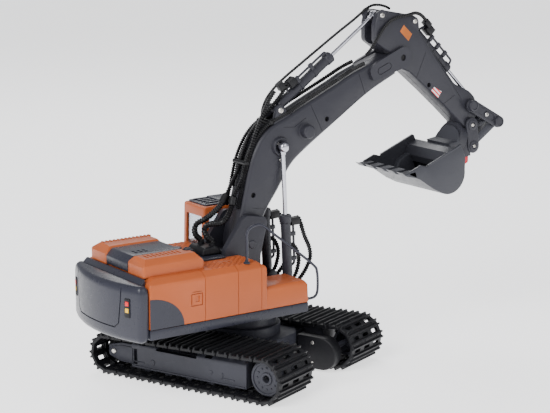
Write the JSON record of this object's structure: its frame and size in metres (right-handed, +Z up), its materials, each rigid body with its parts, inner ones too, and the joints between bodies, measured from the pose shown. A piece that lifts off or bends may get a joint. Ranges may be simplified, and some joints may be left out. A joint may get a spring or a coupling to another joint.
{
  "type": "remote-control tracked excavator",
  "caption": "Remote-control tracked excavator: slewing house with an offset cab on two tracks, boom and arm with chrome-rod cylinders, hoses and a toothed bucket.",
  "frame": {"origin": "centre of the object's box, on the ground under the tracks", "axes": "+X towards the front of the house, where the boom reaches; +Y towards the cab side; +Z up"},
  "size_m": [0.3928, 0.2254, 0.2823],
  "materials": {
    "track_black": "matt moulded pads",
    "frame_grey": "blue-grey moulded plastic",
    "deck_grey": "satin blue-grey moulded plastic",
    "body_orange": "satin burnt-orange moulded plastic",
    "arm_grey": "satin dark grey moulded plastic",
    "chrome": "polished plated rod",
    "steel": "bright steel",
    "hose_black": "ribbed black hose",
    "cab_glass": "tinted clear plastic",
    "tab_red": "red moulded plastic",
    "board_green": "circuit board",
    "battery_black": "shrink-wrapped pack"
  },
  "bodies": {
    "chassis": {"centre_frame": "frame_grey", "side_frame_left": "frame_grey", "side_frame_right": "frame_grey", "track_belt_left": "track_black", "track_belt_right": "track_black", "final_drive_case_left": "track_black", "final_drive_case_right": "track_black", "drive_motor_left": "steel", "drive_motor_right": "steel"},
    "sprocket_left": {"drive_sprocket_left": "frame_grey"},
    "sprocket_right": {"drive_sprocket_right": "frame_grey"},
    "idler_left": {"idler_wheel_left": "track_black"},
    "idler_right": {"idler_wheel_right": "track_black"},
    "roller_left": {"carrier_roller_left": "frame_grey"},
    "roller_right": {"carrier_roller_right": "frame_grey"},
    "house": {"deck_tray": "deck_grey", "counterweight": "deck_grey", "body_cover": "body_orange", "hood_left": "body_orange", "hood_right": "body_orange", "hood_centre": "deck_grey", "exhaust_stub": "arm_grey", "hose_manifold": "deck_grey", "cab_shell": "body_orange", "cab_roof": "deck_grey", "cab_glazing": "cab_glass", "handrail": "deck_grey", "battery_pack": "battery_black", "control_board": "board_green", "slew_motor": "steel", "boom_tower": "arm_grey", "boom_motor": "steel", "boom_foot_pin": "steel", "base_hose_left": "hose_black", "base_hose_right": "hose_black"},
    "boom": {"boom_left_half": "arm_grey", "boom_right_half": "arm_grey", "boom_hoses": "hose_black", "arm_motor": "steel", "arm_pivot_pin": "steel", "arm_cylinder_hose": "hose_black"},
    "lift_barrel_left": {"lift_cylinder_left_barrel": "arm_grey"},
    "lift_barrel_right": {"lift_cylinder_right_barrel": "arm_grey"},
    "lift_rod_left": {"lift_cylinder_left_rod": "chrome"},
    "lift_rod_right": {"lift_cylinder_right_rod": "chrome"},
    "arm_barrel": {"arm_cylinder_barrel": "arm_grey"},
    "arm_rod": {"arm_cylinder_rod": "chrome"},
    "arm": {"arm_left_half": "arm_grey", "arm_right_half": "arm_grey", "bucket_motor": "steel", "rocker_pin": "steel", "coupler_pin": "steel", "arm_hoses": "hose_black"},
    "bucket_barrel": {"bucket_cylinder_barrel": "arm_grey"},
    "bucket_rod": {"bucket_cylinder_rod": "chrome"},
    "rocker": {"rocker": "arm_grey"},
    "link": {"bucket_link": "arm_grey"},
    "bucket": {"quick_coupler": "arm_grey", "bucket": "deck_grey"},
    "release": {"release_tab": "tab_red"}
  },
  "joints": [
    {"name": "drive_left", "type": "hinge", "parent": "chassis", "child": "sprocket_left", "pos_m": [-0.08831, -0.0874, 0.0188], "axis": [0.9239, 0.3827, 0], "continuous": true},
    {"name": "idler_turn_left", "type": "hinge", "parent": "chassis", "child": "idler_left", "pos_m": [-0.14158, 0.04749, 0.0166], "axis": [0.9239, 0.3827, 0], "continuous": true},
    {"name": "roller_turn_left", "type": "hinge", "parent": "chassis", "child": "roller_left", "pos_m": [-0.10529, -0.04247, 0.0266], "axis": [0.9239, 0.3827, 0], "continuous": true},
    {"name": "drive_right", "type": "hinge", "parent": "chassis", "child": "sprocket_right", "pos_m": [0.01516, -0.04453, 0.0188], "axis": [0.9239, 0.3827, 0], "continuous": true},
    {"name": "idler_turn_right", "type": "hinge", "parent": "chassis", "child": "idler_right", "pos_m": [-0.04254, 0.08851, 0.0166], "axis": [0.9239, 0.3827, 0], "continuous": true},
    {"name": "roller_turn_right", "type": "hinge", "parent": "chassis", "child": "roller_right", "pos_m": [-0.00459, -0.00076, 0.0266], "axis": [0.9239, 0.3827, 0], "continuous": true},
    {"name": "slew", "type": "hinge", "parent": "chassis", "child": "house", "pos_m": [-0.06145, -0.00591, 0.0524], "axis": [0, 0, 1], "continuous": true},
    {"name": "boom_lift", "type": "hinge", "parent": "house", "child": "boom", "pos_m": [-0.06545, -0.00591, 0.104], "axis": [0, 1, 0], "range_deg": [-6, 36], "deforming": ["base_hose_left", "base_hose_right"]},
    {"name": "lift_barrel_swing_left", "type": "hinge", "parent": "house", "child": "lift_barrel_left", "pos_m": [-0.02945, -0.00591, 0.069], "axis": [0, 1, 0], "range_deg": [-4.4, 25.4]},
    {"name": "lift_rod_swing_left", "type": "hinge", "parent": "boom", "child": "lift_rod_left", "pos_m": [-0.03445, -0.00591, 0.1773], "axis": [0, 1, 0], "range_deg": [-11, 2]},
    {"name": "lift_barrel_swing_right", "type": "hinge", "parent": "house", "child": "lift_barrel_right", "pos_m": [-0.02945, -0.00591, 0.069], "axis": [0, 1, 0], "range_deg": [-4.4, 25.4]},
    {"name": "lift_rod_swing_right", "type": "hinge", "parent": "boom", "child": "lift_rod_right", "pos_m": [-0.03445, -0.00591, 0.1773], "axis": [0, 1, 0], "range_deg": [-11, 2]},
    {"name": "arm_swing", "type": "hinge", "parent": "boom", "child": "arm", "pos_m": [0.08595, -0.00591, 0.2387], "axis": [0, 1, 0], "range_deg": [-8, 30], "deforming": ["arm_cylinder_hose", "arm_hoses"]},
    {"name": "arm_barrel_swing", "type": "hinge", "parent": "boom", "child": "arm_barrel", "pos_m": [-0.03195, -0.00591, 0.205], "axis": [0, 1, 0], "range_deg": [-1, 3]},
    {"name": "arm_rod_swing", "type": "hinge", "parent": "arm", "child": "arm_rod", "pos_m": [0.06545, -0.00591, 0.274], "axis": [0, 1, 0], "range_deg": [-28, 8]},
    {"name": "bucket_curl", "type": "hinge", "parent": "arm", "child": "bucket", "pos_m": [0.16175, -0.00591, 0.1764], "axis": [0, 1, 0], "range_deg": [-45, 4]},
    {"name": "rocker_swing", "type": "hinge", "parent": "arm", "child": "rocker", "pos_m": [0.16115, -0.00591, 0.193], "axis": [0, 1, 0], "range_deg": [-26.2, 2.6]},
    {"name": "link_swing", "type": "hinge", "parent": "rocker", "child": "link", "pos_m": [0.19115, -0.00591, 0.1766], "axis": [0, 1, 0], "range_deg": [-0.6, 5.1]},
    {"name": "bucket_barrel_swing", "type": "hinge", "parent": "arm", "child": "bucket_barrel", "pos_m": [0.09955, -0.00591, 0.2673], "axis": [0, 1, 0], "range_deg": [-6.6, 0.8]},
    {"name": "bucket_rod_swing", "type": "hinge", "parent": "rocker", "child": "bucket_rod", "pos_m": [0.19115, -0.00591, 0.1766], "axis": [0, 1, 0], "range_deg": [-2, 19.8]},
    {"name": "release_pull", "type": "slide", "parent": "bucket", "child": "release", "axis": [0, 0, -1], "range_m": [0, 0.0015], "stiffness_N_per_m": 100}
  ],
  "couplings": [
    {"joint": "idler_turn_left", "follows": "drive_left", "ratio": 1.1618},
    {"joint": "roller_turn_left", "follows": "drive_left", "ratio": 3.435},
    {"joint": "idler_turn_right", "follows": "drive_right", "ratio": 1.1618},
    {"joint": "roller_turn_right", "follows": "drive_right", "ratio": 3.435},
    {"joint": "lift_barrel_swing_left", "follows": "boom_lift", "ratio": 0.6993},
    {"joint": "lift_rod_swing_left", "follows": "boom_lift", "ratio": -0.3007},
    {"joint": "lift_barrel_swing_right", "follows": "boom_lift", "ratio": 0.6993},
    {"joint": "lift_rod_swing_right", "follows": "boom_lift", "ratio": -0.3007},
    {"joint": "arm_barrel_swing", "follows": "arm_swing", "ratio": 0.0833},
    {"joint": "arm_rod_swing", "follows": "arm_swing", "ratio": -0.9167},
    {"joint": "rocker_swing", "follows": "bucket_curl", "ratio": 0.576},
    {"joint": "link_swing", "follows": "bucket_curl", "ratio": -0.1088},
    {"joint": "bucket_barrel_swing", "follows": "bucket_curl", "ratio": 0.14175},
    {"joint": "bucket_rod_swing", "follows": "bucket_curl", "ratio": -0.43425}
  ]
}
